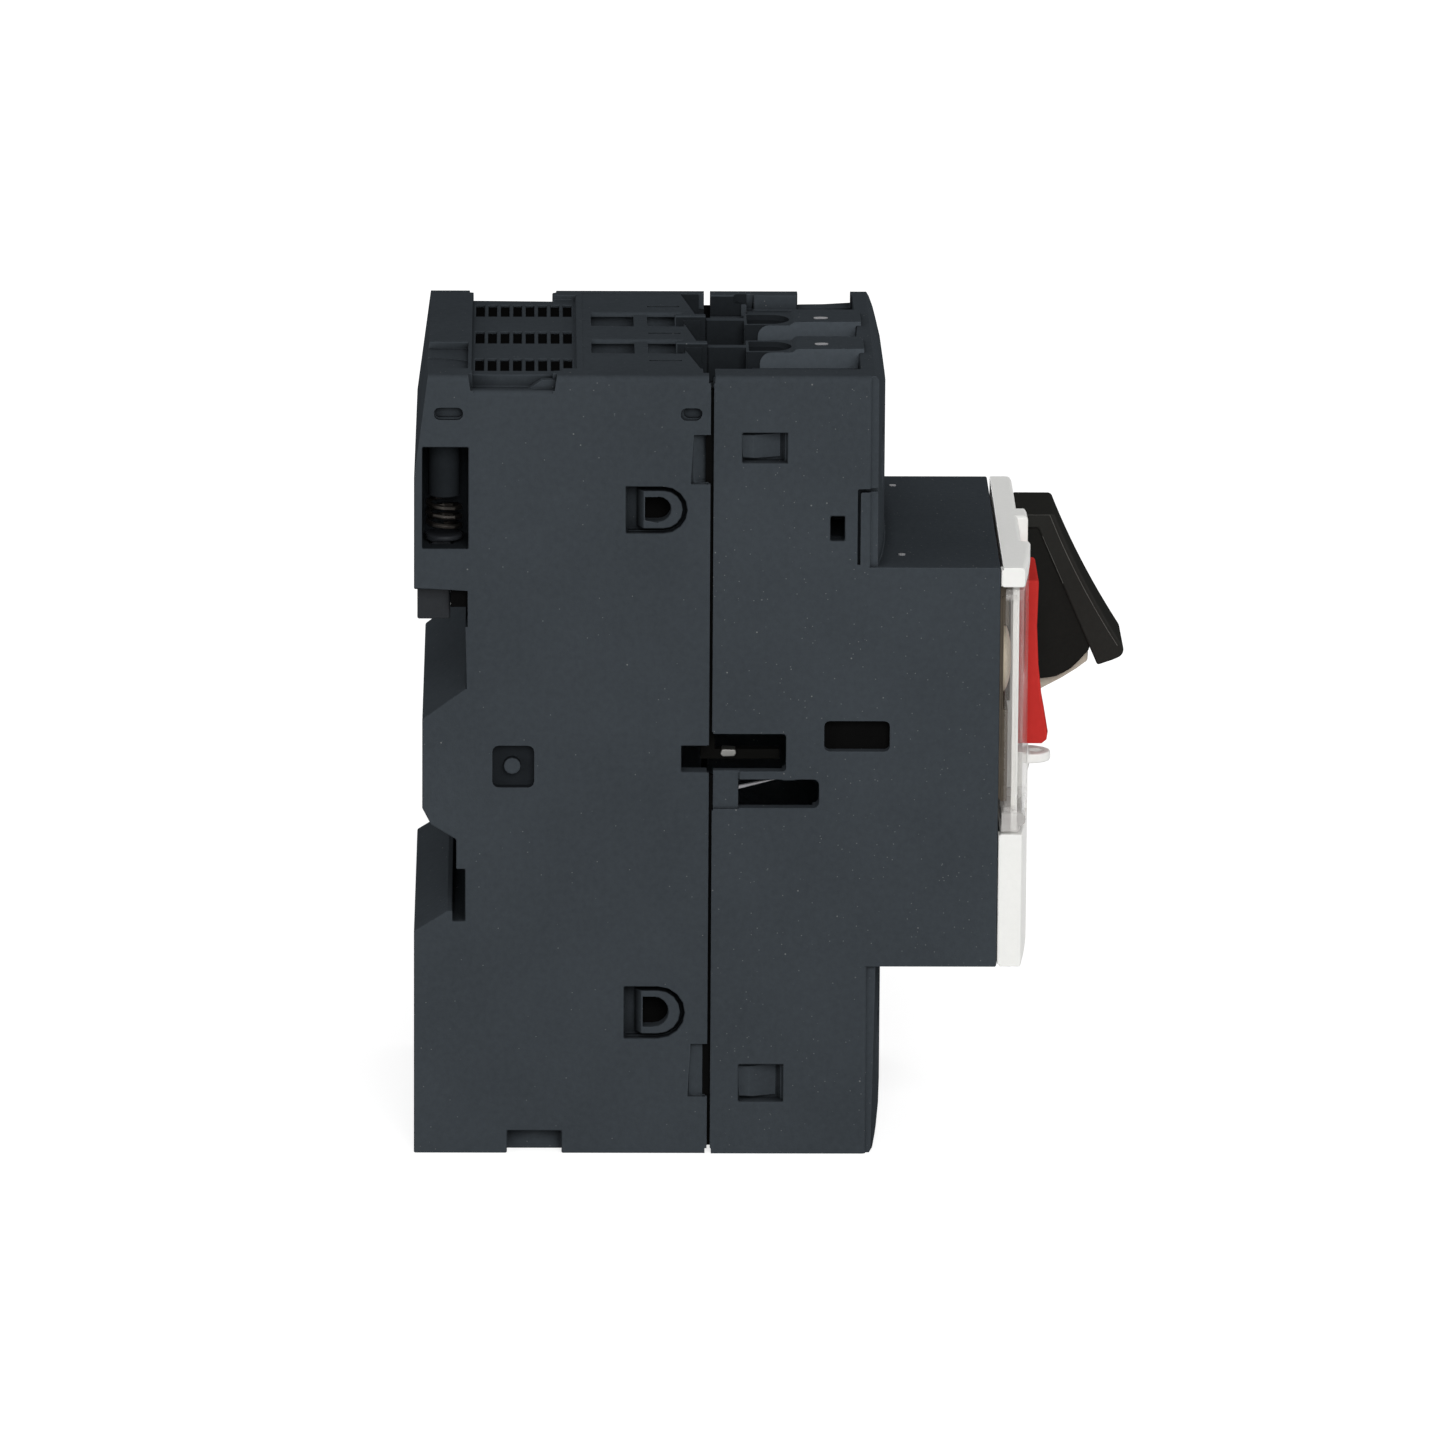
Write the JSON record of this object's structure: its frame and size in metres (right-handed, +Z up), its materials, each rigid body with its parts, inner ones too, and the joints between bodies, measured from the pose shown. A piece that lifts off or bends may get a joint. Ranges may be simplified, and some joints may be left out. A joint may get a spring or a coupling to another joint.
{
  "type": "din rail manual motor starter",
  "caption": "Modular rail-mounted motor starter with a black start paddle, a red stop paddle, a clear cover over a setting dial and screw terminals above and below.",
  "frame": {"origin": "middle of the bottom of the bounding box", "axes": "+Z up along the height, -Y out of the front with the paddles, X across the width"},
  "size_m": [0.045, 0.0802, 0.089],
  "materials": {
    "housing_plastic": "fine matt moulded dark slate",
    "black_plastic": "satin moulded black",
    "white_plastic": "satin moulded white",
    "red_plastic": "smooth moulded red",
    "cream_plastic": "satin moulded cream",
    "clear_plastic": "clear polished moulding",
    "copper_alloy": "plain copper alloy sheet",
    "plated_steel": "zinc plated",
    "spring_steel": "drawn spring wire"
  },
  "bodies": {
    "base": {"rear_housing": "housing_plastic", "front_housing": "housing_plastic", "front_plate": "white_plastic", "setting_panel": "cream_plastic", "paddle_shaft": "plated_steel", "mechanism_frame": "plated_steel", "torsion_spring": "spring_steel", "line_terminal_1": "copper_alloy", "load_terminal_1": "copper_alloy", "arc_chute_1": "plated_steel", "trip_coil_1": "copper_alloy", "bimetal_1": "spring_steel", "line_terminal_2": "copper_alloy", "load_terminal_2": "copper_alloy", "arc_chute_2": "plated_steel", "trip_coil_2": "copper_alloy", "bimetal_2": "spring_steel", "line_terminal_3": "copper_alloy", "load_terminal_3": "copper_alloy", "arc_chute_3": "plated_steel", "trip_coil_3": "copper_alloy", "bimetal_3": "spring_steel", "rail_spring_left": "spring_steel", "rail_spring_right": "spring_steel"},
    "start": {"start_paddle": "black_plastic", "start_lever": "cream_plastic"},
    "stop": {"stop_paddle": "red_plastic"},
    "carrier": {"contact_carrier": "black_plastic", "aux_lever": "black_plastic", "aux_tip": "plated_steel", "moving_contact_1": "copper_alloy", "moving_contact_2": "copper_alloy", "moving_contact_3": "copper_alloy", "contact_spring_1": "spring_steel", "contact_spring_2": "spring_steel", "contact_spring_3": "spring_steel"},
    "trip_link": {"trip_link": "cream_plastic"},
    "trip_bar": {"trip_bar": "black_plastic"},
    "dial": {"setting_dial": "cream_plastic"},
    "cover": {"clear_cover": "clear_plastic"},
    "jaw": {"rail_jaw": "housing_plastic"},
    "line_clamp_1": {"line_clamp_1": "plated_steel"},
    "line_screw_1": {"line_screw_1": "plated_steel"},
    "line_clamp_2": {"line_clamp_2": "plated_steel"},
    "line_screw_2": {"line_screw_2": "plated_steel"},
    "line_clamp_3": {"line_clamp_3": "plated_steel"},
    "line_screw_3": {"line_screw_3": "plated_steel"},
    "load_clamp_1": {"load_clamp_1": "plated_steel"},
    "load_screw_1": {"load_screw_1": "plated_steel"},
    "load_clamp_2": {"load_clamp_2": "plated_steel"},
    "load_screw_2": {"load_screw_2": "plated_steel"},
    "load_clamp_3": {"load_clamp_3": "plated_steel"},
    "load_screw_3": {"load_screw_3": "plated_steel"}
  },
  "joints": [
    {"name": "start_press", "type": "hinge", "parent": "base", "child": "start", "pos_m": [0, -0.0209, 0.0615], "axis": [1, 0, 0], "range_deg": [0, 24.1]},
    {"name": "carrier_slide", "type": "slide", "parent": "base", "child": "carrier", "axis": [0, 1, 0], "range_m": [0, 0.003]},
    {"name": "stop_press", "type": "hinge", "parent": "base", "child": "stop", "pos_m": [0, -0.0209, 0.0615], "axis": [1, 0, 0], "range_deg": [0, 5.05], "stiffness_Nm_per_rad": 0.3},
    {"name": "trip_link_slide", "type": "slide", "parent": "base", "child": "trip_link", "axis": [0, 1, 0], "range_m": [0, 0.00155]},
    {"name": "trip_bar_turn", "type": "hinge", "parent": "base", "child": "trip_bar", "pos_m": [0, 0.0124, 0.0401], "axis": [1, 0, 0], "range_deg": [-18.1, 0]},
    {"name": "dial_turn", "type": "hinge", "parent": "base", "child": "dial", "pos_m": [-0.016, -0.0251, 0.0557], "axis": [0, 1, 0], "range_deg": [-135, 135]},
    {"name": "cover_open", "type": "hinge", "parent": "base", "child": "cover", "pos_m": [-0.0165, -0.0271, 0.0386], "axis": [1, 0, 0], "range_deg": [0, 95]},
    {"name": "jaw_lift", "type": "slide", "parent": "base", "child": "jaw", "axis": [0, 0, 1], "range_m": [0, 0.0018], "stiffness_N_per_m": 4000, "deforming": ["rail_spring_left", "rail_spring_right"]},
    {"name": "line_clamp_1_slide", "type": "slide", "parent": "base", "child": "line_clamp_1", "axis": [0, 1, 0], "range_m": [0, 0.0035]},
    {"name": "line_screw_1_turn", "type": "hinge", "parent": "line_clamp_1", "child": "line_screw_1", "pos_m": [-0.014, -0.0059, 0.0782], "axis": [0, 1, 0], "range_deg": [0, 1801]},
    {"name": "line_clamp_2_slide", "type": "slide", "parent": "base", "child": "line_clamp_2", "axis": [0, 1, 0], "range_m": [0, 0.0035]},
    {"name": "line_screw_2_turn", "type": "hinge", "parent": "line_clamp_2", "child": "line_screw_2", "pos_m": [0, -0.0059, 0.0782], "axis": [0, 1, 0], "range_deg": [0, 1801]},
    {"name": "line_clamp_3_slide", "type": "slide", "parent": "base", "child": "line_clamp_3", "axis": [0, 1, 0], "range_m": [0, 0.0035]},
    {"name": "line_screw_3_turn", "type": "hinge", "parent": "line_clamp_3", "child": "line_screw_3", "pos_m": [0.014, -0.0059, 0.0782], "axis": [0, 1, 0], "range_deg": [0, 1801]},
    {"name": "load_clamp_1_slide", "type": "slide", "parent": "base", "child": "load_clamp_1", "axis": [0, 1, 0], "range_m": [0, 0.0035]},
    {"name": "load_screw_1_turn", "type": "hinge", "parent": "load_clamp_1", "child": "load_screw_1", "pos_m": [-0.014, -0.0059, 0.0108], "axis": [0, 1, 0], "range_deg": [0, 1801]},
    {"name": "load_clamp_2_slide", "type": "slide", "parent": "base", "child": "load_clamp_2", "axis": [0, 1, 0], "range_m": [0, 0.0035]},
    {"name": "load_screw_2_turn", "type": "hinge", "parent": "load_clamp_2", "child": "load_screw_2", "pos_m": [0, -0.0059, 0.0108], "axis": [0, 1, 0], "range_deg": [0, 1801]},
    {"name": "load_clamp_3_slide", "type": "slide", "parent": "base", "child": "load_clamp_3", "axis": [0, 1, 0], "range_m": [0, 0.0035]},
    {"name": "load_screw_3_turn", "type": "hinge", "parent": "load_clamp_3", "child": "load_screw_3", "pos_m": [0.014, -0.0059, 0.0108], "axis": [0, 1, 0], "range_deg": [0, 1801]}
  ],
  "couplings": [
    {"joint": "start_press", "follows": "carrier_slide", "rad_per_m": 139.63},
    {"joint": "stop_press", "follows": "trip_link_slide", "rad_per_m": 56.301},
    {"joint": "trip_bar_turn", "follows": "trip_link_slide", "rad_per_m": -202.68},
    {"joint": "line_screw_1_turn", "follows": "line_clamp_1_slide", "rad_per_m": 8976},
    {"joint": "line_screw_2_turn", "follows": "line_clamp_2_slide", "rad_per_m": 8976},
    {"joint": "line_screw_3_turn", "follows": "line_clamp_3_slide", "rad_per_m": 8976},
    {"joint": "load_screw_1_turn", "follows": "load_clamp_1_slide", "rad_per_m": 8976},
    {"joint": "load_screw_2_turn", "follows": "load_clamp_2_slide", "rad_per_m": 8976},
    {"joint": "load_screw_3_turn", "follows": "load_clamp_3_slide", "rad_per_m": 8976}
  ]
}
